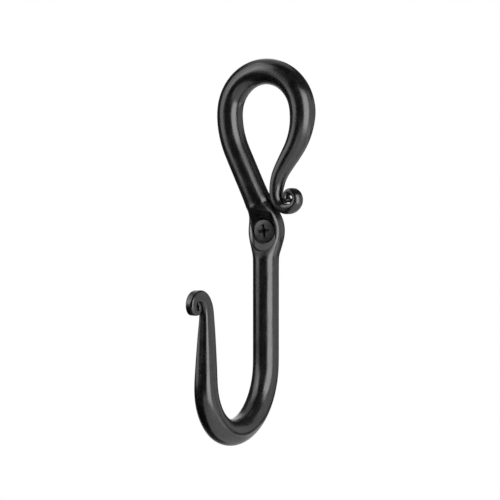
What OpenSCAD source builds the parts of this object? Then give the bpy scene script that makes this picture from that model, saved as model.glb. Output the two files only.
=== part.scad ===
// Forged wall hook, made from one round bar. Above the screw the bar is bent into a teardrop
// loop whose thinned end is scrolled and lies against the loop's leg. At the screw the bar
// is pressed wide, with a dished seat in front and a flat pad behind. Below it the bar runs
// straight down, bends forward into a J, and ends in a thinned, scrolled tip.
//
// The wall is the plane y = 0 and the room is on the -y side. +z is up. The origin is where
// the screw's axis meets the wall. All sizes are in millimetres.

/* [Bar] */
// Diameter of the round bar
bar_d = 9.5; // [8.5:0.1:10.5]
// Gap where a scroll lies against the leg or closes on itself
touch_gap = 0.3; // [0.2:0.1:0.6]

/* [Screw eye] */
// Width across the pressed eye
eye_w = 13.4; // [12.4:0.1:14]
// Thickness of the pressed eye, from the wall to its front
eye_t = 8.1; // [7.8:0.1:9]
// Length on each side of the screw over which the round bar becomes the eye
eye_reach = 11; // [10:0.5:12]
// How far the flat pad behind the eye stands proud of the round bar
pad_proud = 0.15; // [0.1:0.05:0.3]
// Height of the dished seat's floor above the wall
seat_h = 6.5; // [6.2:0.1:7]
// Width of the dished seat
seat_w = 10.8; // [10.4:0.1:11.4]
// Radius of the dish along the bar
seat_r = 16; // [13:0.5:20]
// Radius between the dish's floor and its side walls
seat_wall_r = 1.4; // [1:0.1:2]
// Reach of the seat above the screw, to its straight upper end
seat_top = 7.6; // [7:0.1:8.4]
// Reach of the seat below the screw, to its round lower end
seat_foot = 7.2; // [6.6:0.1:8]
// Lean of the seat, in line with the bending bar
seat_lean = 9; // [0:1:15]
// Diameter of the screw hole
hole_d = 4.8; // [4.5:0.1:5.2]

/* [Loop] */
// Radius of the loop's round top, to the bar's centreline
loop_r = 15.3; // [14.4:0.1:17]
// Height of the round top's centre above the screw hole
loop_z = 42.8; // [41:0.2:46]
// Bend radius of the neck, where the leg leaves the eye
neck_r = 17; // [16:1:24]
// Bend radius of the loop's flank above the neck
flank_r = 32; // [28:1:36]
// Bend radius of the loop's flank above the scroll
return_r = 25; // [20:0.5:26]
// Bend radius where that flank turns down into the scroll's stem
stem_r = 17; // [13:0.5:18]
// How early the bar is drawn thin on its way to the stem: evenly at 1, sooner above it
loop_draw = 1.1; // [1:0.05:2]

/* [Loop scroll] */
// Height of the stem's foot above the screw hole, where the scroll begins
stem_z = 13.5; // [12:0.1:15]
// Thickness of the stem, in the plane of the loop
stem_t = 4.3; // [4:0.1:4.8]
// Width of the stem, from front to back
stem_w = 4.3; // [3.8:0.1:4.8]
// Thickness of the scroll's end
curl_end_t = 1.1; // [1:0.1:1.5]
// Width of the scroll's end
curl_end_w = 3.4; // [3:0.1:4]
// Bend radius at the scroll's start, to the centreline
curl_r = 6.1; // [5.7:0.1:6.4]
// Bend radius at the scroll's end, to the centreline
curl_end_r = 1; // [0.9:0.05:1.15]
// Turn of the scroll, in degrees
curl_turn = 500; // [440:5:510]
// How early the scroll tightens: evenly at 1, sooner above it
curl_tighten = 1; // [0.9:0.1:1.3]
// How late the scroll thins towards its end: evenly at 1, later above it
curl_draw = 1.8; // [1.4:0.1:2]
// Squareness of the stem's and the scroll's section: round at 2, square-cornered above it
curl_n = 4; // [2:0.5:6]

/* [Hook] */
// Length of the straight shaft below the screw hole
shaft_len = 48; // [40:0.1:60]
// Bend radius of the J's back half, to the bar's centreline
hook_back_r = 23; // [20:0.5:28]
// Bend radius of the J's front half, to the bar's centreline
hook_front_r = 18.8; // [16:0.2:24]
// Length of the rising leg, from the bend to the tip scroll
rise_len = 23; // [20:0.1:30]
// Lean of the rising leg towards the wall, in degrees
rise_lean = 1.5; // [0:0.5:4]
// Turn of the J over which the bar keeps its full section
full_turn = 125; // [95:5:140]
// How early the bar is drawn thin on the rising leg: evenly at 1, later below it
rise_draw = 0.9; // [0.7:0.1:1.5]

/* [Tip scroll] */
// Thickness of the tip where its scroll starts, in the plane of the J
tip_t = 5.5; // [5.2:0.1:6]
// Width of the tip there, across the J
tip_w = 3.2; // [3:0.1:3.8]
// Thickness of the tip scroll's end
tip_end_t = 0.8; // [0.7:0.1:1]
// Width of the tip scroll's end
tip_end_w = 2.6; // [2.4:0.1:3]
// Bend radius at the tip scroll's start, to the centreline
tip_r = 10.2; // [9.8:0.1:11]
// Bend radius at the tip scroll's end, to the centreline
tip_end_r = 1.5; // [1.3:0.05:1.6]
// Turn of the tip scroll, in degrees
tip_turn = 440; // [400:5:445]
// How early the tip scroll tightens: evenly at 1, sooner above it
tip_tighten = 2.1; // [1.5:0.1:2.2]
// How late the tip scroll thins towards its end: evenly at 1, later above it
tip_draw = 1.3; // [1.1:0.1:1.5]
// Squareness of the tip's section: round at 2, square-cornered above it
tip_n = 8; // [2:0.5:10]

/* [Screw] */
// Diameter of the screw's smooth shank and of its thread
screw_d = 4.2; // [4:0.1:4.4]
// Length of the screw, over its flat head
screw_len = 32; // [25:1:40]
// Diameter of the screw's head
head_d = 8.4; // [8:0.1:8.8]
// Angle of the head's cone, in degrees
head_angle = 82; // [80:1:90]
// Height of the head's straight rim
head_rim = 0.4; // [0.3:0.05:0.6]
// Gap between the head and its seat
head_gap = 0.05; // [0.03:0.01:0.15]
// Length of the smooth shank below the head's face
shank_len = 11; // [10:0.5:13]
// Pitch of the thread
pitch = 2.8; // [2.2:0.1:3.2]
// Diameter at the root of the thread
root_d = 2.8; // [2.5:0.1:3]
// Length of the screw's point
point_len = 5; // [4:0.5:7]
// Width across the cross recess
recess_w = 4.7; // [4.4:0.1:5]
// Width of the recess's slots
slot_w = 0.8; // [0.7:0.05:1.1]
// Depth of the recess
recess_depth = 2.4; // [2:0.1:2.8]
// Turn of the recess about the screw's axis, in degrees
recess_turn = 7; // [0:1:90]

/* [Hidden] */

iron = [0.11, 0.11, 0.12];
blacked_steel = [0.17, 0.17, 0.18];

bar_r = bar_d / 2;
axis_y = -bar_r - pad_proud; // the bar's centreline, in front of the wall

sides = 32;         // points round the bar
bend_step = 3.1;    // longest step along a bend
eye_steps = 8;      // steps over which the eye swells on each side
scroll_step = 14;   // largest turn of one step in a scroll, in degrees
smooth = 96;        // $fn of every round cut
eps = 0.01;

// ---- Bar: its centreline --------------------------------------------------------------
// A centreline is a list of steps, each [length, turn in degrees], where a turn to the
// left is positive. Walking it gives stations, each [across, along, heading, travel].

function arc_len(r, turn) = r * abs(turn) * PI / 180;
function chord(step) =
    step[1] == 0 ? step[0] : 2 * step[0] / (step[1] * PI / 180) * sin(step[1] / 2);
function divide(length, turn, n) = [for (i = [1:n]) [length / n, turn / n]];
function straight(length, n = 1) = divide(length, 0, n);
function bend(r, turn) =
    let (length = arc_len(r, turn)) divide(length, turn, ceil(length / bend_step));

// A scroll's bend radius shrinks by the same share in each step where tighten is 1, and
// sooner where it is more.
function scroll(r_start, r_end, turn, tighten) =
    let (n = ceil(turn / scroll_step))
    [for (i = [0:n - 1])
        let (r = r_end * pow(r_start / r_end, pow(1 - (i + 0.5) / n, tighten)))
        [arc_len(r, turn / n), turn / n]];

function total(steps) = len(steps) == 0 ? 0 : [for (s = steps) s[0]] * [for (s = steps) 1];

function walk(steps, start) =
    [for (i = 0, p = start, h = 0, travel = 0; i <= len(steps);
          d = i < len(steps) ? steps[i] : [0, 0],
          p = p + chord(d) * [-sin(h + d[1] / 2), cos(h + d[1] / 2)],
          h = h + d[1], travel = travel + d[0], i = i + 1)
        [p[0], p[1], h, travel]];

// Two bends and the straight between them, which move a line sideways by shift over rise
// and bring it back to its first heading: [angle of each bend, length of the straight].
function s_bend(shift, rise, r_sum) =
    let (a = shift - r_sum, m = norm([a, rise]))
    [atan2(-rise, a) + acos(-r_sum / m), sqrt(m * m - r_sum * r_sum)];

// The bar's half width across the eye, at a travel from the screw.
swell_w = eye_w / 2 - bar_r;
function swell(travel) = travel < eye_reach ? (1 + cos(180 * travel / eye_reach)) / 2 : 0;
function half_width(travel) = bar_r + swell_w * swell(travel);

// Upwards from the eye: the neck and the leg up to the loop's flank.
leg = s_bend(loop_r, loop_z, neck_r + flank_r);
leg_start = neck_r * [cos(leg[0]) - 1, sin(leg[0])];

// The side of the neck and leg that faces the scroll, at a height, with the touch gap.
function leg_side(z) =
    let (reach = neck_r + bar_r + touch_gap)
    z < reach * sin(leg[0])
        ? sqrt(pow(neck_r + half_width(arc_len(neck_r, asin(z / reach))) + touch_gap, 2) - z * z)
          - neck_r
        : leg_start[0] - (z - leg_start[1]) * tan(leg[0]) + (bar_r + touch_gap) / cos(leg[0]);

// The scroll lies as close to the neck and leg as its outer side allows.
loop_scroll_steps = scroll(curl_r, curl_end_r, curl_turn, curl_tighten);
loop_scroll_len = total(loop_scroll_steps);
stem_x = max([for (s = walk(loop_scroll_steps, [0, 0]))
    if (s[2] < 120)
        let (gone = pow(s[3] / loop_scroll_len, curl_draw),
             half = (stem_t + (curl_end_t - stem_t) * gone) / 2)
        leg_side(stem_z - s[1] - half * sin(s[2])) + s[0] + half * cos(s[2])]);

// From the round top the flank comes back down to the stem. Its two bends are tighter where
// the rise has no room for them.
back_shift = loop_r - stem_x;
back_rise = loop_z - stem_z;
back_room = (back_shift * back_shift + back_rise * back_rise) / (2 * back_shift);
back_fit = min(1, 0.97 * back_room / (return_r + stem_r));
back = s_bend(back_shift, back_rise, back_fit * (return_r + stem_r));

loop_body_steps = concat(
    divide(arc_len(neck_r, leg[0]), leg[0], eye_steps), straight(leg[1], 3),
    bend(flank_r, -leg[0]), bend(loop_r, -180));
loop_taper_steps = concat(
    bend(back_fit * return_r, -back[0]), straight(back[1], 2),
    bend(back_fit * stem_r, back[0]));
loop_path = walk(concat(loop_body_steps, loop_taper_steps, loop_scroll_steps), [0, 0]);

// Downwards from the eye: shaft, J, rising leg and tip scroll.
hook_turn = 180 + rise_lean;
shaft_steps = concat(straight(eye_reach, eye_steps), straight(shaft_len - eye_reach));
full_steps = concat(
    shaft_steps, bend(hook_back_r, 90), bend(hook_front_r, full_turn - 90));
hook_taper_steps = concat(bend(hook_front_r, hook_turn - full_turn), straight(rise_len, 6));
tip_scroll_steps = scroll(tip_r, tip_end_r, tip_turn, tip_tighten);
// The tip curls away from the wall, so its scroll turns the other way from the J.
hook_path = walk(concat(full_steps, hook_taper_steps, mirrored(tip_scroll_steps)), [0, 0]);
function mirrored(steps) = [for (s = steps) [s[0], -s[1]]];

// ---- Bar: its section -----------------------------------------------------------------
// A section is [half thickness in the plane of the bend, half width across it, squareness],
// where a squareness of 2 is round.

round_n = 2;
square_late = 1.5;  // how late the section turns square while the bar is drawn thin

// How far a travel has gone from one point to another, from 0 to 1.
function share(travel, from, to) = min(1, max(0, (travel - from) / (to - from)));

// A drawn-out end: full round bar at from, [t, w] with squareness n at start, and
// [end_t, end_w] at the very end, where the last half thickness is rounded off.
function drawn(travel, from, start, end, draw, end_draw, t, w, end_t, end_w, n) =
    let (a = 1 - pow(1 - share(travel, from, start), draw),
         b = pow(share(travel, start, end), end_draw),
         thin = b == 0 ? bar_d + (t - bar_d) * a : t + (end_t - t) * b,
         wide = b == 0 ? bar_d + (w - bar_d) * a : w + (end_w - w) * b,
         left = (end - travel) / (end_t / 2),
         close = left < 1 ? sqrt(max(0.1, 1 - pow(1 - left, 2))) : 1)
    [thin / 2 * close, wide / 2 * close, round_n + (n - round_n) * pow(a, square_late)];

loop_taper_from = total(loop_body_steps);
loop_scroll_from = loop_taper_from + total(loop_taper_steps);
loop_end = loop_scroll_from + loop_scroll_len;
function loop_section(travel) =
    drawn(travel, loop_taper_from, loop_scroll_from, loop_end, loop_draw, curl_draw,
          stem_t, stem_w, curl_end_t, curl_end_w, curl_n);

hook_taper_from = total(full_steps);
hook_scroll_from = hook_taper_from + total(hook_taper_steps);
hook_end = hook_scroll_from + total(tip_scroll_steps);
function hook_section(travel) =
    drawn(travel, hook_taper_from, hook_scroll_from, hook_end, rise_draw, tip_draw,
          tip_t, tip_w, tip_end_t, tip_end_w, tip_n);

// ---- Bar: its skin --------------------------------------------------------------------

eye_n = 3;          // squareness of the pressed eye
pad_cut = 0.4;      // depth that the flat pad is pressed into the eye's back

// A point of unit size on the section's outline.
function outline(a, n) =
    [cos(a), sin(a)] * pow(pow(abs(cos(a)), n) + pow(abs(sin(a)), n), -1 / n);

// One ring of points: side and front are its two axes, half its half sizes along them.
function ring(centre, side, front, half, n, travel) =
    let (e = swell(travel),
         half_side = half[0] + swell_w * e,
         half_front = half[1] + (eye_t + axis_y - bar_r) * e,
         half_back = half[1] + (pad_proud + pad_cut) * min(1, 3 * e),
         m = n + (eye_n - round_n) * e)
    [for (j = [0:sides - 1])
        let (q = outline(360 * j / sides, m))
        centre + side * q[0] * half_side + front * q[1] * (q[1] < 0 ? half_back : half_front)];

loop_rings = [for (s = loop_path)
    let (k = loop_section(s[3]))
    ring([s[0], axis_y, s[1]], [cos(s[2]), 0, sin(s[2])], [0, -1, 0],
         [k[0], k[1]], k[2], s[3])];
hook_rings = [for (s = hook_path)
    let (k = hook_section(s[3]))
    ring([0, axis_y + s[0], -s[1]], [1, 0, 0], [0, -cos(s[2]), sin(s[2])],
         [k[1], k[0]], k[2], s[3])];

// Rings joined by triangles, closed by a flat face at each end.
module skin(rings) {
    n = len(rings[0]);
    last = len(rings) - 1;
    points = [for (r = rings) each r];
    faces = concat(
        [[for (j = [0:n - 1]) j]],
        [for (i = [0:last - 1], j = [0:n - 1])
            let (a = i * n + j, b = i * n + (j + 1) % n)
            each [[a, a + n, b], [b, a + n, b + n]]],
        [[for (j = [n - 1:-1:0]) last * n + j]]);
    polyhedron(points, faces, convexity = 10);
}

module bar() {
    skin(concat([for (i = [len(loop_rings) - 1:-1:1]) loop_rings[i]], hook_rings));
}

// ---- Eye: dished seat, countersunk hole and flat pad ----------------------------------

head_cone_h = (head_d - screw_d) / 2 / tan(head_angle / 2);

// Places its children on the screw's axis: z = 0 at the seat's floor, +z into the room.
module on_seat() {
    translate([0, -seat_h, 0]) rotate([90, 0, 0]) children();
}

// The dished floor is the rim of a wheel that lies across the bar, with rounded edges.
module dish() {
    flat = seat_w / 2 - seat_wall_r;
    translate([0, 0, seat_r]) rotate([0, 90, 0])
        rotate_extrude($fn = smooth) {
            translate([0, -flat]) square([seat_r, 2 * flat]);
            translate([0, -seat_w / 2]) square([seat_r - seat_wall_r, seat_w]);
            for (side = [-1, 1])
                intersection() {
                    translate([seat_r - seat_wall_r, side * flat])
                        circle(seat_wall_r, $fn = smooth);
                    translate([0, -seat_w / 2]) square([seat_r, seat_w]);
                }
        }
}

// Seen from the front, the seat is straight at its upper end and round at its lower one.
module seat_outline() {
    intersection() {
        rotate(seat_lean) {
            translate([0, seat_w / 2 - seat_foot]) circle(d = seat_w, $fn = smooth);
            translate([-seat_w / 2, seat_w / 2 - seat_foot]) square([seat_w, 2 * seat_top]);
        }
        translate([-bar_d, seat_top - 2 * bar_d]) square(2 * bar_d);
    }
}

module seat_cut() {
    on_seat() intersection() {
        rotate([0, 0, seat_lean]) dish();
        translate([0, 0, -1]) linear_extrude(bar_d) seat_outline();
    }
}

module screw_hole() {
    grow = head_gap / cos(head_angle / 2); // the gap is square to the cone
    sink_r = head_d / 2 + grow;
    on_seat() {
        translate([0, 0, -seat_h - 1]) cylinder(d = hole_d, h = seat_h + 2, $fn = smooth);
        translate([0, 0, -head_rim - sink_r / tan(head_angle / 2)])
            cylinder(r1 = 0, r2 = sink_r, h = sink_r / tan(head_angle / 2), $fn = smooth);
        translate([0, 0, -head_rim - eps]) cylinder(r = sink_r, h = 3, $fn = smooth);
    }
}

module pad_cut_away() {
    translate([-eye_w, 0, -2 * eye_reach]) cube([2 * eye_w, bar_d, 4 * eye_reach]);
}

module hook() {
    color(iron)
        difference() {
            bar();
            seat_cut();
            screw_hole();
            pad_cut_away();
        }
}

// ---- Screw ----------------------------------------------------------------------------

// Its head's flat face lies level with the seat's floor.
thread_from = shank_len - pitch / 2; // the thread runs out inside the shank
thread_len = screw_len - thread_from;
thread_sides = 12;
turn_step = 30;      // turn between two rings of the thread, in degrees
crest_share = 0.5;   // share of the pitch that the ridge takes
point_end = 0.15;    // radius that the point is cut to

// Radius of the thread at an angle round its section, from its root to its crest.
function ridge(a, crest) =
    let (off = abs(a - 180) / (180 * crest_share))
    root_d / 2 + (crest - root_d / 2) * max(0, 1 - off);

// The section turns once each pitch, grows from the root and shrinks towards the point.
function thread_ring(d) =
    let (grown = min(1, d / pitch),
         shrink = min(1, point_end * 2 / root_d + (thread_len - d) / point_len),
         crest = (root_d / 2 + (screw_d / 2 - eps - root_d / 2) * grown))
    [for (j = [0:thread_sides - 1])
        let (a = 360 * j / thread_sides, r = ridge(a, crest) * shrink, b = a - 360 * d / pitch)
        [r * cos(b), -r * sin(b), -thread_from - d]];

module thread() {
    n = ceil(thread_len / pitch * 360 / turn_step);
    skin([for (i = [0:n]) thread_ring(thread_len * i / n)]);
}

module cross_recess() {
    arm = recess_w / 2;
    intersection() {
        translate([0, 0, -recess_depth])
            cylinder(r1 = arm * 0.35, r2 = arm, h = recess_depth + eps, $fn = smooth);
        rotate([0, 0, recess_turn])
            for (a = [0, 90])
                rotate([0, 0, a]) translate([-arm - 1, -slot_w / 2, -recess_depth - 1])
                    cube([2 * arm + 2, slot_w, recess_depth + 2]);
    }
}

module screw() {
    color(blacked_steel)
        on_seat() difference() {
            union() {
                translate([0, 0, -head_rim]) cylinder(d = head_d, h = head_rim, $fn = smooth);
                translate([0, 0, -head_rim - head_cone_h])
                    cylinder(d1 = screw_d, d2 = head_d, h = head_cone_h, $fn = smooth);
                translate([0, 0, -shank_len]) cylinder(d = screw_d, h = shank_len - 1, $fn = smooth);
                thread();
            }
            cross_recess();
        }
}

hook();
screw();
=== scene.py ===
# Forged wall hook: one round bar with a scrolled loop above, a pressed screw eye and a scrolled
# J below, held by one countersunk wood screw. Metres, wall at y = 0, room on the -y side.
import math
from math import cos, pi, radians, sin

import bpy
import numpy as np
from mathutils import Matrix, Vector


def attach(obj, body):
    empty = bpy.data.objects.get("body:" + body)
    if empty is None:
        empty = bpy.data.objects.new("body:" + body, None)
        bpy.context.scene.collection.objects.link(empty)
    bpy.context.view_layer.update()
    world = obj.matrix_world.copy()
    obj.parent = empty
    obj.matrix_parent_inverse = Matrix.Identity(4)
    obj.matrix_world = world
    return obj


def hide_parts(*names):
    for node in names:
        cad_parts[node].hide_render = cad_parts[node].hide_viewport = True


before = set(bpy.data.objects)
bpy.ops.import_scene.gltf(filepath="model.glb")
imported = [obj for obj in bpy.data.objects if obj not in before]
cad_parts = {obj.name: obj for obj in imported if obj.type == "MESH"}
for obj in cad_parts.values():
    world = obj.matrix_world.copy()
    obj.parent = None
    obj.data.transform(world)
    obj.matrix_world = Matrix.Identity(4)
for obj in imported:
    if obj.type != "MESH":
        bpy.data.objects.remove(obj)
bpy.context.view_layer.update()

# ---- Camera ----
# A long lens, seven tenths of a metre from the hook, a little above it and to its right. Its
# shift puts the hook where it stands in the frame without turning the lens.
mm = 0.001
camera_turn, camera_rise, camera_distance = radians(29.824), radians(2.223), 700 * mm
aim = Vector((0, -4.75 * mm, 0))
towards_camera = Vector((sin(camera_turn) * cos(camera_rise),
                         -cos(camera_turn) * cos(camera_rise), sin(camera_rise)))
bpy.ops.object.camera_add(location=aim + camera_distance * towards_camera,
                          rotation=towards_camera.to_track_quat("Z", "Y").to_euler())
camera = bpy.context.object
camera.data.lens = 138.1
camera.data.sensor_width = 36
camera.data.shift_x = -0.0322
camera.data.shift_y = -0.0384
camera.data.clip_start = 0.01
camera.data.clip_end = 20
bpy.context.scene.camera = camera
bpy.context.scene.view_settings.view_transform = "Standard"

# ---- Hook forging ----
# One length of 3/8 in mild steel bar, pressed wide for the screw, bent hot over a former into
# the loop and the J, and drawn thin and rolled into a scroll at each end. It is drilled,
# blasted and coated black.
bar_r = 4.75 * mm
bar_y = -4.9 * mm            # the bar's centreline, in front of the wall
eye_reach = 11 * mm          # the eye swells over this length on each side of the screw
eye_w, eye_front, eye_back = 13.4 * mm, 8.1 * mm, 0.55 * mm
ring_points = 16
fullness = 6 / (4 + 2 * cos(2 * pi / ring_points))  # makes up for the subdivision's shrinking


def only(thing):
    bpy.ops.object.select_all(action="DESELECT")
    thing.select_set(True)
    bpy.context.view_layer.objects.active = thing


def edit(thing):
    only(thing)
    bpy.ops.object.mode_set(mode="EDIT")


def pick(thing, test, kind="VERT"):
    """Selects the vertices or faces for which test(place, normal) is true."""
    bpy.ops.object.mode_set(mode="EDIT")
    bpy.ops.mesh.select_mode(type=kind)
    bpy.ops.mesh.select_all(action="DESELECT")
    bpy.ops.object.mode_set(mode="OBJECT")
    if kind == "VERT":
        for v in thing.data.vertices:
            v.select = test(v.co, v.normal)
    else:
        for f in thing.data.polygons:
            f.select = test(f.center, f.normal)
    bpy.ops.object.mode_set(mode="EDIT")


def even_steps(length, turn, longest):
    """Equal steps of the bar's path, each a length and a turn in degrees."""
    n = max(1, math.ceil(length / longest))
    return [(length / n, turn / n)] * n


def bend_steps(radius, turn, longest=3.1 * mm):
    return even_steps(radius * abs(radians(turn)), turn, longest)


def scroll_steps(first_r, last_r, turn, tighten, direction, step=14):
    """Steps that wind the strip up from one radius to another, later for a high tighten."""
    n = math.ceil(turn / step)
    radii = [last_r * (first_r / last_r) ** ((1 - (i + 0.5) / n) ** tighten) for i in range(n)]
    return [(r * radians(turn / n), direction * turn / n) for r in radii]


def length_of(steps):
    return sum(length for length, turn in steps)


def drawn(travel, start, foot, end, draw, end_draw, foot_size, end_size, square):
    """Half thickness and half width, in metres, and the squareness, where 2 is round.

    The bar is round to start, drawn out to foot_size at foot and to end_size at end. Both
    sizes are a thickness and a width in millimetres.
    """
    a = 1 - (1 - min(1, max(0, (travel - start) / (foot - start)))) ** draw
    b = min(1, max(0, (travel - foot) / (end - foot))) ** end_draw
    size = [bar_r + (f * mm / 2 - bar_r) * a if b == 0 else (f + (e - f) * b) * mm / 2
            for f, e in zip(foot_size, end_size)]
    return size[0], size[1], 2 + (square - 2) * a ** 1.5


# Upwards: neck, leg, flank, round top, flank, stem and scroll.
neck_r, leg_turn, leg_length = 17 * mm, 25.8754, 23.802 * mm
leg_flank_r, top_r = 32 * mm, 15.3 * mm
free_flank_r, flank_turn, free_length, stem_r = 25 * mm, 33.3407, 7.441 * mm, 17 * mm
loop_body = (even_steps(neck_r * radians(leg_turn), leg_turn, longest=1.3 * mm)
             + even_steps(leg_length, 0, longest=6 * mm)
             + bend_steps(leg_flank_r, -leg_turn) + bend_steps(top_r, -180))
loop_taper = (bend_steps(free_flank_r, -flank_turn)
              + even_steps(free_length, 0, longest=4 * mm) + bend_steps(stem_r, flank_turn))
loop_scroll = scroll_steps(first_r=6.1 * mm, last_r=1 * mm, turn=500, tighten=1, direction=1)
loop_marks = (length_of(loop_body), length_of(loop_body + loop_taper),
              length_of(loop_body + loop_taper + loop_scroll))
loop_form = dict(draw=1.1, end_draw=1.8, foot_size=(4.3, 4.3), end_size=(1.35, 3.4), square=4)

# Downwards: shaft, J, rising leg and tip scroll.
shaft_length, j_back_r, j_front_r = 37 * mm, 23 * mm, 18.8 * mm
round_turn, drawn_turn, rise_length = 35, 56.5, 23 * mm
j_body = (even_steps(eye_reach, 0, longest=1.4 * mm)
          + even_steps(shaft_length, 0, longest=7.5 * mm)
          + bend_steps(j_back_r, 90) + bend_steps(j_front_r, round_turn))
j_taper = bend_steps(j_front_r, drawn_turn) + even_steps(rise_length, 0, longest=4 * mm)
j_scroll = scroll_steps(first_r=10.2 * mm, last_r=1.5 * mm, turn=440, tighten=2.1, direction=-1)
j_marks = (length_of(j_body), length_of(j_body + j_taper),
           length_of(j_body + j_taper + j_scroll))
j_form = dict(draw=0.9, end_draw=1.3, foot_size=(5.5, 3.6), end_size=(0.8, 2.8), square=6.5)


def draw_out(steps, ahead, hinge, across, section, direction):
    """Extrudes the selected ring along the steps, and turns it about the hinge axis.

    ahead(angle) is the bar's heading, across the axis it keeps, and section(travel) its form.
    """
    place, heading, travel = Vector((0, bar_y, 0)), 0.0, 0.0
    thick, wide = bar_r, bar_r
    cross = Vector(across)
    for length, turn in steps:
        half_turn = radians(turn) / 2
        chord = length if turn == 0 else length * sin(half_turn) / half_turn
        move = ahead(heading + half_turn) * chord
        bpy.ops.mesh.extrude_edges_move(TRANSFORM_OT_translate={"value": move})
        place, heading, travel = place + move, heading + 2 * half_turn, travel + length
        if turn:
            bpy.ops.transform.rotate(value=2 * half_turn, orient_axis=hinge,
                                     center_override=place)
        in_plane = ahead(heading).cross(cross)
        new_thick, new_wide, square = section(travel)
        if (new_thick, new_wide) != (thick, wide):
            axes = Matrix((in_plane, cross, ahead(heading))).transposed()
            bpy.ops.transform.resize(
                value=(new_thick / thick, new_wide / wide, 1), orient_type="GLOBAL",
                orient_matrix=axes, orient_matrix_type="GLOBAL", center_override=place)
            thick, wide = new_thick, new_wide
        rings.append((place, in_plane, cross, thick, wide, square, direction * travel))
    end_bulge, end_taper = 0.3, 0.6
    bpy.ops.mesh.extrude_edges_move(
        TRANSFORM_OT_translate={"value": ahead(heading) * end_bulge * thick})
    bpy.ops.transform.resize(value=(end_taper, end_taper, end_taper), center_override=place)
    rings.append((place, in_plane, cross, thick, wide, square, direction * travel))
    bpy.ops.mesh.edge_face_add()


bpy.ops.mesh.primitive_circle_add(vertices=ring_points, radius=bar_r * fullness,
                                  location=(0, bar_y, 0))
hook = bpy.context.object
hook.name = "hook_forging"
bpy.ops.object.transform_apply(location=True)
rings = [(Vector((0, bar_y, 0)), Vector((1, 0, 0)), Vector((0, -1, 0)), bar_r, bar_r, 2, 0)]
edit(hook)
bpy.ops.mesh.select_all(action="SELECT")
draw_out(loop_body + loop_taper + loop_scroll, ahead=lambda h: Vector((-sin(h), 0, cos(h))),
         hinge="Y", across=(0, -1, 0),
         section=lambda s: drawn(s, *loop_marks, **loop_form), direction=1)
pick(hook, lambda p, n: abs(p.z) < 0.01 * mm)
draw_out(j_body + j_taper + j_scroll, ahead=lambda h: Vector((0, -sin(h), -cos(h))),
         hinge="X", across=(1, 0, 0),
         section=lambda s: drawn(s, *j_marks, **j_form), direction=-1)
bpy.ops.mesh.select_all(action="SELECT")
bpy.ops.mesh.normals_make_consistent(inside=False)
bpy.ops.object.mode_set(mode="OBJECT")


def swell(travel):
    """How much of the eye's full width the bar has, from 1 at the screw to 0."""
    t = np.minimum(np.abs(travel), eye_reach)
    return (1 + np.cos(pi * t / eye_reach)) / 2


def squareness(a, b, n):
    """Grows a round outline, through the points (a, b), to one with fuller corners."""
    r = np.hypot(a, b) + 1e-12
    return (np.abs(a / r) ** n + np.abs(b / r) ** n) ** (-1 / n)


# A subdivided ring runs inside its own points, as this blend of neighbours says. Each ring is
# set back out by the reverse of it, so that it keeps its corners.
blend = np.eye(ring_points) * 4 / 6
for k in range(ring_points):
    blend[k, k - 1] += 1 / 6
    blend[k, (k + 1) % ring_points] += 1 / 6

# The strips are flat with rounded corners, and the bar swells into the eye. A broken edge
# keeps a share of its corner's squareness: 0 is round and below 0 is a small flat.
loop_edge, j_edge = -0.25, 0.25
edge_from, edge_to = -0.2, 0.6   # how far an edge faces front right, where breaking sets in
back_rise = 3                    # the flat back comes in this much faster than the sides
grain_length = 30 * mm           # of the bar to one unit of its grain
rise_twist = 3.5                 # degrees that the rising leg is wound
bar_mesh = hook.data
bar_mesh.attributes.new("travel", "FLOAT", "POINT")
bar_mesh.attributes.new("grain", "FLOAT_VECTOR", "POINT")  # round the bar, and slowly along it
place = np.array([v.co for v in bar_mesh.vertices])
travel = np.zeros(len(place))
grain = np.zeros((len(place), 3))
for k, (centre, in_plane, cross, thick, wide, square, at) in enumerate(rings):
    mine = slice(k * ring_points, (k + 1) * ring_points)
    out = place[mine] - np.array(centre)
    a, b = out @ np.array(in_plane), out @ np.array(cross)
    along = out - np.outer(a, in_plane) - np.outer(b, cross)
    swollen = float(swell(at))
    grain[mine] = np.column_stack([a / thick, b / wide,
                                   np.full(ring_points, at / grain_length)])
    # The strips' edges are hammered broken where they turn to the hook's front right.
    turned_to = np.sign(a) * (in_plane.x if at > 0 else -in_plane.y)
    broken = np.interp(turned_to, (edge_from, edge_to), (1, loop_edge if at > 0 else j_edge))
    full = 2 + swollen + (square - 2) * np.where(b > 0, broken, 1)
    grow = squareness(a / thick, b / wide, full) / fullness
    a, b = a * grow, b * grow
    if abs(at) < eye_reach:
        side, front = (a, b) if at >= 0 else (b, a)
        side = side * (1 + swollen * (eye_w / 2 - bar_r) / bar_r)
        front = np.where(front > 0, front * (1 + swollen * (eye_front + bar_y - bar_r) / bar_r),
                         front * (1 + min(1, back_rise * swollen) * eye_back / bar_r))
        a, b = (side, front) if at >= 0 else (front, side)
    twist = radians(np.interp(-at, j_marks, (0, rise_twist, 0)))
    a, b = a * cos(twist) + b * sin(twist), b * cos(twist) - a * sin(twist)
    a, b = np.linalg.solve(blend, a), np.linalg.solve(blend, b)
    place[mine] = np.array(centre) + along + np.outer(a, in_plane) + np.outer(b, cross)
    travel[mine] = at
bar_mesh.vertices.foreach_set("co", place.ravel())
bar_mesh.attributes["travel"].data.foreach_set("value", travel)
bar_mesh.attributes["grain"].data.foreach_set("vector", grain.ravel())
bar_mesh.update()


def apply_all(thing):
    only(thing)
    for modifier in list(thing.modifiers):
        bpy.ops.object.modifier_apply(modifier=modifier.name)


smooth_bar = hook.modifiers.new("rounding", "SUBSURF")
smooth_bar.levels = smooth_bar.render_levels = 2
apply_all(hook)

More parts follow.
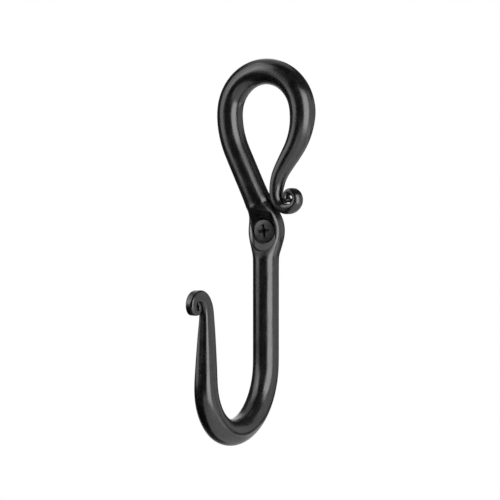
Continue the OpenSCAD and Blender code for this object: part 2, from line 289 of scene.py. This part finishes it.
# The eye: the swollen bar is struck with a die that leaves a dished seat with a straight upper
# end and a round lower one. Its back is flattened, and it is drilled and countersunk. In this
# part every length is in millimetres.
seat_floor, seat_r, seat_w = 6.5, 16, 10.8          # the floor's distance is from the wall
seat_top, seat_foot, seat_lean, seat_wall_r = 7.6, 7.2, radians(9), 1.4
seat_edge, seat_wall_rise, rim_round, pad_round = 0.12, 4.0, 0.45, 0.12
exact_to, plain_from = 9.4, 10.8                    # travel over which the exact form fades
fine_reach, finer_reach, finer_front = 10.6, 10.2, -5.2
neck, neck_turn = neck_r / mm, radians(leg_turn)


def between(x, low, high):
    """0 below low, 1 above high, and an even curve between."""
    t = np.clip((x - low) / (high - low), 0, 1)
    return t * t * (3 - 2 * t)


def soft_min(a, b, k):
    """The lower of two surfaces, with their meeting rounded over k."""
    h = np.clip(0.5 + 0.5 * (b - a) / k, 0, 1)
    return b + (a - b) * h - k * h * (1 - h)


def read_points(thing):
    """Each point's place and its travel along the bar, in millimetres."""
    mesh = thing.data
    co = np.empty(len(mesh.vertices) * 3)
    mesh.vertices.foreach_get("co", co)
    at = np.empty(len(mesh.vertices))
    mesh.attributes["travel"].data.foreach_get("value", at)
    return co.reshape(-1, 3) / mm, at / mm


def split_faces(thing, test, cuts):
    """Subdivides the faces for which test(centre, travel) is true."""
    co, at = read_points(thing)
    chosen = []
    for f in thing.data.polygons:
        corner = list(f.vertices)
        chosen.append(bool(test(co[corner].mean(0), at[corner].mean())))
    edit(thing)
    bpy.ops.mesh.select_mode(type="FACE")
    bpy.ops.mesh.select_all(action="DESELECT")
    bpy.ops.object.mode_set(mode="OBJECT")
    thing.data.polygons.foreach_set("select", chosen)
    edit(thing)
    bpy.ops.mesh.subdivide(number_cuts=cuts)
    bpy.ops.object.mode_set(mode="OBJECT")


split_faces(hook, lambda c, at: abs(at) < fine_reach, 1)
split_faces(hook, lambda c, at: abs(at) < finer_reach and c[1] < finer_front, 1)

co, at = read_points(hook)
eye = np.abs(at) < eye_reach / mm
x, y, z = co[eye].T
# Each point's place across the bar, from the bar's own centreline, and along it.
heading = np.clip(np.arctan2(z, x + neck), 0, neck_turn)
past_neck = (z > 0) & (np.arctan2(z, x + neck) > neck_turn)
leg_x, leg_z = neck * (cos(neck_turn) - 1), neck * sin(neck_turn)
across = np.where(z <= 0, x, np.hypot(x + neck, z) - neck)
along = np.where(z <= 0, z, neck * heading)
leg_along = (x - leg_x) * -sin(neck_turn) + (z - leg_z) * cos(neck_turn)
across = np.where(past_neck, (x - leg_x) * cos(neck_turn) + (z - leg_z) * sin(neck_turn), across)
along = np.where(past_neck, neck * neck_turn + leg_along, along)
# The exact pressed form there.
swollen = swell(along * mm)
front = -(y - bar_y / mm)
half_side = (bar_r + swollen * (eye_w / 2 - bar_r)) / mm
half_front = np.where(front > 0, bar_r + swollen * (eye_front + bar_y - bar_r),
                      bar_r + np.minimum(1, back_rise * swollen) * eye_back) / mm
square = 2 + swollen
fit = (np.abs(across / half_side) ** square
       + np.abs(front / half_front) ** square) ** (-1 / square)
weight = 1 - between(np.abs(along), exact_to, plain_from)
scale = 1 + weight * (fit - 1)
across, front = across * scale, front * scale
heading = np.where(z <= 0, 0, heading)
base_x = np.where(z <= 0, 0, np.where(past_neck, leg_x - leg_along * sin(neck_turn),
                                      neck * (np.cos(heading) - 1)))
base_z = np.where(z <= 0, z, np.where(past_neck, leg_z + leg_along * cos(neck_turn),
                                      neck * np.sin(heading)))
x, z = base_x + across * np.cos(heading), base_z + across * np.sin(heading)
depth = front - bar_y / mm
# The seat, struck into the front by a wheel-shaped die that leans to the left.
up = -x * sin(seat_lean) + z * cos(seat_lean)
aside = np.abs(x * cos(seat_lean) + z * sin(seat_lean))
flat_half = seat_w / 2 - seat_wall_r
to_wall = np.clip(aside - flat_half, 0, seat_wall_r - seat_edge)
wheel_r = seat_r - seat_wall_r + np.sqrt(seat_wall_r ** 2 - to_wall ** 2)
outside = np.maximum(np.where(up > seat_w / 2 - seat_foot, aside,
                              np.hypot(aside, up - seat_w / 2 + seat_foot)) - seat_w / 2,
                     z - seat_top)
struck = (seat_floor + seat_r - np.sqrt(wheel_r ** 2 - up ** 2)
          + seat_wall_rise * np.maximum(0, outside + seat_edge))
depth = np.where(front > 0, soft_min(depth, struck, rim_round), depth)
# The pad, flat against the wall.
depth = -soft_min(-depth, 0 * depth, pad_round)
co[eye] = np.column_stack([x, -depth, z])
hook.data.vertices.foreach_set("co", (co * mm).ravel())
hook.data.update()


def turned(name, sides, profile):
    """A turned solid on the screw's axis: each step is a radius and a distance from the wall."""
    (last_r, last_d), steps = profile[0], profile[1:]
    bpy.ops.mesh.primitive_circle_add(
        vertices=sides, radius=last_r * mm, location=(0, -last_d * mm, 0),
        rotation=(radians(90), 0, 0), fill_type="NGON")
    piece = bpy.context.object
    piece.name = name
    bpy.ops.object.transform_apply()
    edit(piece)
    for r, d in steps:
        bpy.ops.mesh.extrude_region_move(
            TRANSFORM_OT_translate={"value": (0, -(d - last_d) * mm, 0)})
        bpy.ops.transform.resize(value=(r / last_r, 1, r / last_r),
                                 center_override=(0, -d * mm, 0))
        last_r, last_d = r, d
    bpy.ops.mesh.select_all(action="SELECT")
    bpy.ops.mesh.normals_make_consistent(inside=False)
    bpy.ops.object.mode_set(mode="OBJECT")
    return piece


def cut(thing, tool, operation="DIFFERENCE"):
    """Takes the tool away from the piece, or welds it on with UNION."""
    joining = thing.modifiers.new("cut", "BOOLEAN")
    joining.operation, joining.solver, joining.object = operation, "EXACT", tool
    apply_all(thing)
    bpy.data.objects.remove(tool)


# The drill: shank hole, countersink and the clear way in front of the screw's head.
drill = turned("drill", 96,
               ((2.4, -1), (2.4, 3.9), (4.32, 6), (4.62, 6.1), (4.72, 6.6), (4.9, 12)))
cut(hook, drill)
only(hook)
bpy.ops.object.shade_smooth_by_angle(angle=radians(48))

# The coat: a satin black powder that follows every mark of the blasted iron.
coat_black, coat_pale = (0.004, 0.004, 0.0042), (0.0095, 0.0094, 0.0093)
coat_gloss = 1.0


def new_material(name, base):
    material = bpy.data.materials.new(name)
    material.use_nodes = True
    shader = material.node_tree.nodes["Principled BSDF"]
    shader.inputs["Base Color"].default_value = (*base, 1)
    return material, shader, material.node_tree


def noise(tree, source, scale, detail, rough=0.5):
    node = tree.nodes.new("ShaderNodeTexNoise")
    node.inputs["Scale"].default_value = scale
    node.inputs["Detail"].default_value = detail
    node.inputs["Roughness"].default_value = rough
    tree.links.new(source, node.inputs["Vector"])
    return node.outputs["Fac"]


def spread(tree, value, low, high, to_low, to_high):
    """Maps low to high onto to_low to to_high, and holds outside them."""
    node = tree.nodes.new("ShaderNodeMapRange")
    for name, number in zip(("From Min", "From Max", "To Min", "To Max"),
                            (low, high, to_low, to_high)):
        node.inputs[name].default_value = number
    tree.links.new(value, node.inputs["Value"])
    return node.outputs["Result"]


def blend_colours(tree, factor, low, high):
    node = tree.nodes.new("ShaderNodeMix")
    node.data_type = "RGBA"
    tree.links.new(factor, node.inputs["Factor"])
    node.inputs["A"].default_value, node.inputs["B"].default_value = (*low, 1), (*high, 1)
    return node.outputs["Result"]


def bump(tree, height, strength, distance, before=None):
    node = tree.nodes.new("ShaderNodeBump")
    node.inputs["Strength"].default_value = strength
    node.inputs["Distance"].default_value = distance
    tree.links.new(height, node.inputs["Height"])
    if before:
        tree.links.new(before, node.inputs["Normal"])
    return node.outputs["Normal"]


iron, iron_shader, tree = new_material("black_iron", coat_black)
iron_shader.inputs["Specular IOR Level"].default_value = coat_gloss
object_place = tree.nodes.new("ShaderNodeTexCoord").outputs["Object"]
bar_grain = tree.nodes.new("ShaderNodeAttribute")
bar_grain.attribute_name = "grain"
mottle = noise(tree, object_place, scale=420, detail=4, rough=0.6)
tree.links.new(blend_colours(tree, spread(tree, mottle, 0.42, 0.62, 0, 1),
                             coat_black, coat_pale), iron_shader.inputs["Base Color"])
# The powder lies thicker and duller in the foot of the seat, under the screw.
foot_from, foot_to, foot_dulled = 4.4 * mm, 5.4 * mm, 0.26
off_foot = tree.nodes.new("ShaderNodeVectorMath")
off_foot.operation = "MULTIPLY_ADD"
off_foot.inputs[1].default_value = (1, 0, 0.9)
off_foot.inputs[2].default_value = (0, 0, 3.6 * mm)
tree.links.new(object_place, off_foot.inputs[0])
distance = tree.nodes.new("ShaderNodeVectorMath")
distance.operation = "LENGTH"
tree.links.new(off_foot.outputs[0], distance.inputs[0])
dull = tree.nodes.new("ShaderNodeMath")
dull.operation = "ADD"
tree.links.new(spread(tree, noise(tree, object_place, scale=220, detail=4),
                      0.3, 0.7, 0.2, 0.3), dull.inputs[0])
tree.links.new(spread(tree, distance.outputs["Value"], foot_from, foot_to, foot_dulled, 0),
               dull.inputs[1])
tree.links.new(dull.outputs[0], iron_shader.inputs["Roughness"])
# Drawing leaves faint lines along the bar, hammer and die leave it a little uneven, and the
# powder dries to a fine grain.
lines = bump(tree, noise(tree, bar_grain.outputs["Vector"], scale=2.6, detail=2),
             strength=0.4, distance=0.12 * mm)
uneven = bump(tree, noise(tree, object_place, scale=110, detail=1),
              strength=0.35, distance=0.25 * mm, before=lines)
powder = bump(tree, noise(tree, object_place, scale=2600, detail=2),
              strength=0.07, distance=0.05 * mm, before=uneven)
tree.links.new(powder, iron_shader.inputs["Normal"])
hook.data.materials.clear()
hook.data.materials.append(iron)
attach(hook, "root")
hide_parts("hook")

# ---- Screw ----
# A countersunk wood screw of blacked steel holds the hook to the wall. Its head is turned with a
# broken rim, the cross recess is punched, and the thread is rolled down to a gimlet point.

# From the head's face, past its rim and cone, and down the shank into the thread.
screw = turned("wood_screw", 64,
               ((3.82, 6.5), (4.05, 6.43), (4.2, 6.22), (4.2, 6.1), (2.1, 3.684), (2.1, -4.3),
                (1.3, -5)))

thread_sides, thread_from, thread_length, pitch = 24, 3.1 * mm, 22.39 * mm, 2.8 * mm
root_r, crest_r, point_length = 1.4 * mm, 2.095 * mm, 5 * mm
ridge_reach = 4.4            # sides of a ring that the ridge slopes over, each way
tip_share = 0.107            # of the full radius, at the very point
bpy.ops.mesh.primitive_circle_add(vertices=thread_sides, radius=root_r,
                                  location=(0, thread_from, 0), rotation=(radians(90), 0, 0))
thread = bpy.context.object
bpy.ops.object.transform_apply()
edit(thread)
bpy.ops.mesh.edge_face_add()
bpy.ops.object.mode_set(mode="OBJECT")
edit(thread)
thread_rings = round(thread_length / pitch * thread_sides)
one_step = thread_length / thread_rings
for k in range(thread_rings):
    bpy.ops.mesh.extrude_region_move(TRANSFORM_OT_translate={"value": (0, one_step, 0)})
    bpy.ops.transform.rotate(value=radians(360 / thread_sides), orient_axis="Y",
                             center_override=(0, 0, 0))
bpy.ops.mesh.select_all(action="SELECT")
bpy.ops.mesh.normals_make_consistent(inside=False)
bpy.ops.object.mode_set(mode="OBJECT")
# The ridge of each ring stands out on one side, grows from the shank and dies at the point.
place = np.array([v.co for v in thread.data.vertices])
ring = np.arange(len(place)) % thread_sides
down = place[:, 1] - thread_from
ridge = np.maximum(0, 1 - np.abs(ring - thread_sides // 2) / ridge_reach)
shrink = np.minimum(1, tip_share + (thread_length - down) / point_length)
thread_r = shrink * (root_r + (crest_r - root_r) * ridge * np.minimum(1, down / pitch))
place[:, [0, 2]] *= (thread_r / np.hypot(place[:, 0], place[:, 2]))[:, None]
thread.data.vertices.foreach_set("co", place.ravel())
thread.data.update()
cut(screw, thread, "UNION")

# The punch has two crossed blades, which taper inwards, and a pointed middle.
recess_turn, blade_long, blade_wide = radians(7), 5.2 * mm, 1.01 * mm
blade_deep, blade_middle, blade_taper = 2.8 * mm, -5.5 * mm, (0.6, 1, 0.75)
for quarter in (0, 1):
    bpy.ops.mesh.primitive_cube_add(size=1, location=(0, blade_middle, 0))
    blade = bpy.context.object
    blade.scale = (blade_long, blade_deep, blade_wide)
    bpy.ops.object.transform_apply()
    pick(blade, lambda p, n: n.y > 0.9, "FACE")
    bpy.ops.transform.resize(value=blade_taper)
    bpy.ops.object.mode_set(mode="OBJECT")
    blade.rotation_euler = (0, -recess_turn - quarter * pi / 2, 0)
    only(blade)
    bpy.ops.object.transform_apply()
    cut(screw, blade)
cut(screw, turned("punch_point", 24, ((0.25, 4), (1.1, 6.5), (1.3, 6.9))))
only(screw)
bpy.ops.object.shade_smooth_by_angle(angle=radians(32))

# The blacking is thin and a little scuffed, over steel that the header has pressed uneven.
steel_black, steel_scuffed = (0.012, 0.012, 0.013), (0.034, 0.034, 0.035)
steel_gloss = 1.0
steel, steel_shader, tree = new_material("blacked_steel", steel_black)
steel_shader.inputs["Specular IOR Level"].default_value = steel_gloss
object_place = tree.nodes.new("ShaderNodeTexCoord").outputs["Object"]
scuffs = noise(tree, object_place, scale=700, detail=4, rough=0.65)
tree.links.new(blend_colours(tree, spread(tree, scuffs, 0.42, 0.66, 0, 1),
                             steel_black, steel_scuffed), steel_shader.inputs["Base Color"])
tree.links.new(spread(tree, scuffs, 0.35, 0.65, 0.42, 0.3), steel_shader.inputs["Roughness"])
pressed = bump(tree, noise(tree, object_place, scale=420, detail=2),
               strength=0.4, distance=0.12 * mm)
fine = bump(tree, noise(tree, object_place, scale=3000, detail=2),
            strength=0.12, distance=0.04 * mm, before=pressed)
tree.links.new(fine, steel_shader.inputs["Normal"])
screw.data.materials.clear()
screw.data.materials.append(steel)
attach(screw, "root")
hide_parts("screw")

# ---- Studio ----
# The hook hangs on a white wall over a pale floor, and the screw is inside the wall. Soft boxes
# stand round it, and black cloth hangs behind them, so that its edges stay dark.


def seen_or_mirrored(tree, mirrored=1.0):
    """1 for what the camera sees, mirrored for what shows in a gloss or through glass, else 0."""
    path = tree.nodes.new("ShaderNodeLightPath")
    shown = path.outputs["Is Camera Ray"]
    for other in ("Is Glossy Ray", "Is Transmission Ray"):
        dimmed, either = tree.nodes.new("ShaderNodeMath"), tree.nodes.new("ShaderNodeMath")
        dimmed.operation, either.operation = "MULTIPLY", "MAXIMUM"
        dimmed.inputs[1].default_value = mirrored
        tree.links.new(path.outputs[other], dimmed.inputs[0])
        tree.links.new(shown, either.inputs[0])
        tree.links.new(dimmed.outputs[0], either.inputs[1])
        shown = either.outputs[0]
    return shown


def mixed(tree, factor, low, high, out):
    """Gives out the low shader where factor is 0 and the high one where it is 1."""
    node = tree.nodes.new("ShaderNodeMixShader")
    tree.links.new(factor, node.inputs[0])
    tree.links.new(low.outputs[0], node.inputs[1])
    tree.links.new(high.outputs[0], node.inputs[2])
    tree.links.new(node.outputs[0], out.inputs["Surface"])


# The floor: its brightness is four fifths its own where it is seen, and the rest is lamplight,
# with its shadows.
floor_glow, floor_mirrored = 0.8, 0.6
bpy.ops.mesh.primitive_plane_add(size=2.2, location=(0, 0, -0.6))
floor = bpy.context.object
floor.name = "floor"
floor_paint, floor_shader, tree = new_material("floor_paint", (0.85, 0.85, 0.84))
floor_shader.inputs["Roughness"].default_value = 0.7
share = tree.nodes.new("ShaderNodeMath")
share.operation = "MULTIPLY"
share.inputs[1].default_value = floor_glow
tree.links.new(seen_or_mirrored(tree, floor_mirrored), share.inputs[0])
glow = tree.nodes.new("ShaderNodeEmission")
glow.inputs["Color"].default_value = (0.95, 0.95, 0.945, 1)
mixed(tree, share.outputs[0], floor_shader, glow, tree.nodes["Material Output"])
floor.data.materials.append(floor_paint)

# The wall: white from the room, clear from behind, and nearly clear in the hook's gloss.
wall_mirrored = 0.05
bpy.ops.mesh.primitive_plane_add(size=1.6, location=(0, 0.05 * mm, 0),
                                 rotation=(radians(90), 0, 0))
wall = bpy.context.object
wall.name = "wall"
wall_paint, _, tree = new_material("wall_white", (1, 1, 1))
front_only = tree.nodes.new("ShaderNodeMath")
front_only.operation, front_only.use_clamp = "SUBTRACT", True
tree.links.new(seen_or_mirrored(tree, wall_mirrored), front_only.inputs[0])
tree.links.new(tree.nodes.new("ShaderNodeNewGeometry").outputs["Backfacing"],
               front_only.inputs[1])
mixed(tree, front_only.outputs[0], tree.nodes.new("ShaderNodeBsdfTransparent"),
      tree.nodes.new("ShaderNodeEmission"), tree.nodes["Material Output"])
wall.data.materials.append(wall_paint)

# The air round the hook is white to look at and gives next to no light.
world = bpy.data.worlds.new("studio")
bpy.context.scene.world = world
world.use_nodes = True
tree = world.node_tree
tree.nodes.clear()
out = tree.nodes.new("ShaderNodeOutputWorld")
white, dim = tree.nodes.new("ShaderNodeBackground"), tree.nodes.new("ShaderNodeBackground")
dim.inputs["Color"].default_value = (0.01, 0.01, 0.01, 1)
white.inputs["Color"].default_value = (1, 1, 1, 1)
mixed(tree, seen_or_mirrored(tree), dim, white, out)

# The black cloth: it hangs all round, open straight behind the hook, and a black card lies at
# the front left. Both show in the gloss alone.
opening = radians(12)
bpy.ops.mesh.primitive_cylinder_add(vertices=32, radius=1.6, depth=2.1, location=(0, 0, 0.5))
cloth = bpy.context.object
cloth.name = "black_cloth"
behind = Vector((-towards_camera.x, -towards_camera.y, 0)).normalized()
bpy.ops.object.transform_apply()
pick(cloth, lambda p, n: n.z < -0.5 or (
    abs(n.z) < 0.5 and Vector((p.x, p.y, 0)).normalized().dot(behind) > cos(opening)), "FACE")
bpy.ops.mesh.delete(type="FACE")
bpy.ops.object.mode_set(mode="OBJECT")
cloth_dye, cloth_shader, tree = new_material("cloth_black", (0.002, 0.002, 0.002))
cloth_shader.inputs["Specular IOR Level"].default_value = 0
cloth.data.materials.append(cloth_dye)
bpy.ops.mesh.primitive_plane_add(size=2.0, location=(-1.1, -0.6, -0.55))
card = bpy.context.object
card.name = "black_card"
card.data.materials.append(cloth_dye)
for flag in (cloth, card):
    flag.visible_camera = flag.visible_shadow = flag.visible_diffuse = False


def soft_box(name, azimuth, height, distance, width, tall, watts):
    """An area lamp that faces the hook. Azimuth is from the front, -y, towards +x."""
    a = radians(azimuth)
    at = Vector((sin(a) * distance, -cos(a) * distance, height))
    facing = (at - Vector((0, -0.02, 0))).to_track_quat("Z", "Y").to_euler()
    bpy.ops.object.light_add(type="AREA", location=at, rotation=facing)
    lamp = bpy.context.object
    lamp.name = name
    lamp.data.shape, lamp.data.size, lamp.data.size_y = "RECTANGLE", width, tall
    lamp.data.energy = watts
    lamp.visible_camera = False


# name, azimuth in degrees, height, distance, width, tall (all in metres) and watts
for box in (("right_box", 66, 0.10, 0.9, 0.74, 1.1, 9.0),
            ("right_back_box", 114, 0.05, 0.9, 0.60, 1.1, 1.4),
            ("back_box", 150, 0.05, 0.9, 0.50, 0.5, 0.4),
            ("left_box", -51, 0.46, 0.9, 0.72, 1.4, 4.5),
            ("upper_left_box", -34, 0.42, 0.9, 0.3, 0.6, 0.7),
            ("top_box", -130, 1.0, 0.45, 1.2, 0.8, 1.4)):
    soft_box(*box)
